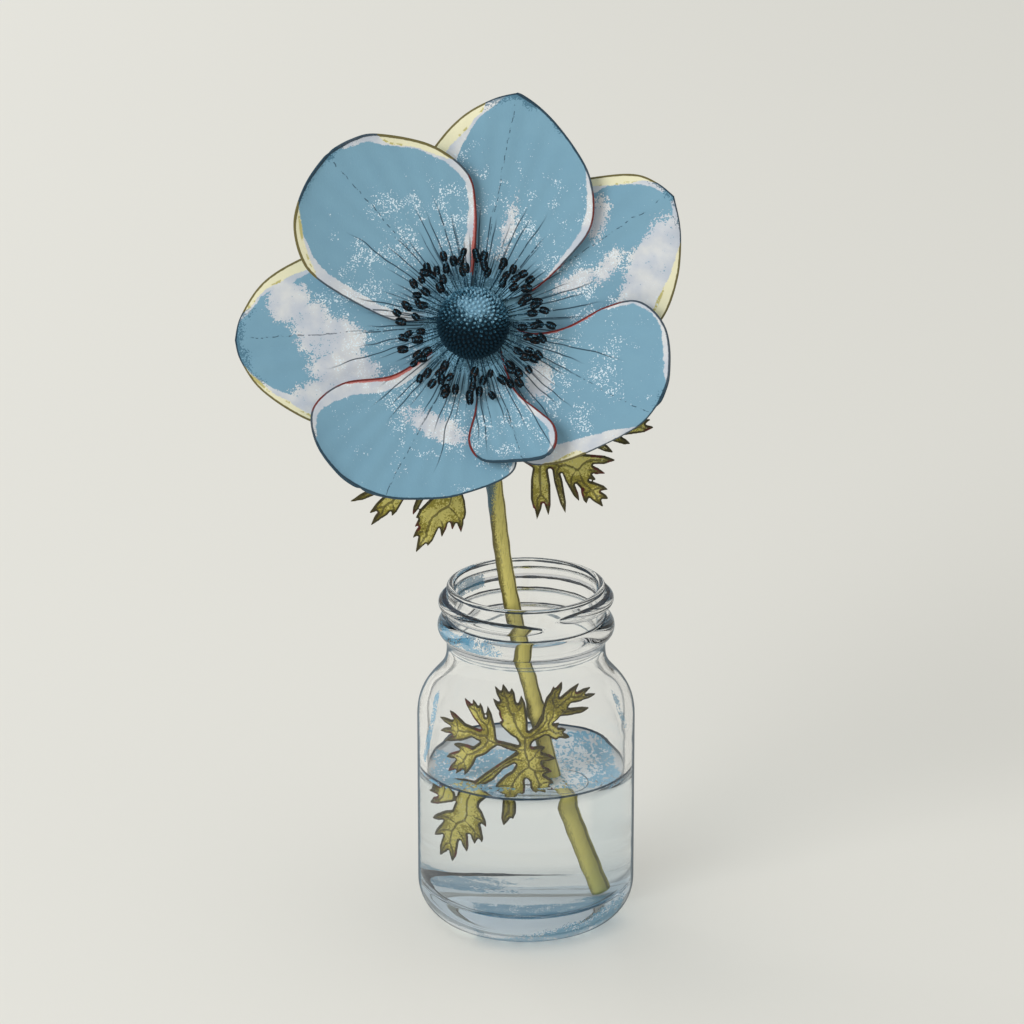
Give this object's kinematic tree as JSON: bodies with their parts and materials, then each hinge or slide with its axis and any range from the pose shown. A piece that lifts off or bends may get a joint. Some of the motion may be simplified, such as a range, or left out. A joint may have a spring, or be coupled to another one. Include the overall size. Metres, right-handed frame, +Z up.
{
  "type": "anemone flower in a glass jar",
  "caption": "Blue anemone flower on a leaning stem with a divided leaf, standing in a small clear screw-neck glass jar of water.",
  "frame": {"origin": "middle of the jar's flat underside, on the surface it stands on", "axes": "+Z up along the jar's axis, the bloom faces -Y and leans to -X"},
  "size_m": [0.0875, 0.0673, 0.1832],
  "materials": {
    "jar_glass": "clear, glossy",
    "water": "clear, pale blue",
    "stem": "olive green, matt",
    "foliage": "olive green, matt",
    "petals": "powdery blue, silky",
    "carpels": "dark blue, velvety",
    "stamens": "blue-black, matt"
  },
  "bodies": {
    "root": {"jar": "jar_glass", "water": "water", "stem": "stem", "stem_leaf": "foliage", "bract_left": "foliage", "bract_right": "foliage", "bract_back": "foliage", "petal_upper_left": "petals", "petal_top": "petals", "petal_upper_right": "petals", "petal_lower_right": "petals", "petal_bottom": "petals", "petal_lower_left": "petals", "petal_left": "petals", "carpel_head": "carpels", "stamens": "stamens"}
  },
  "joints": []
}
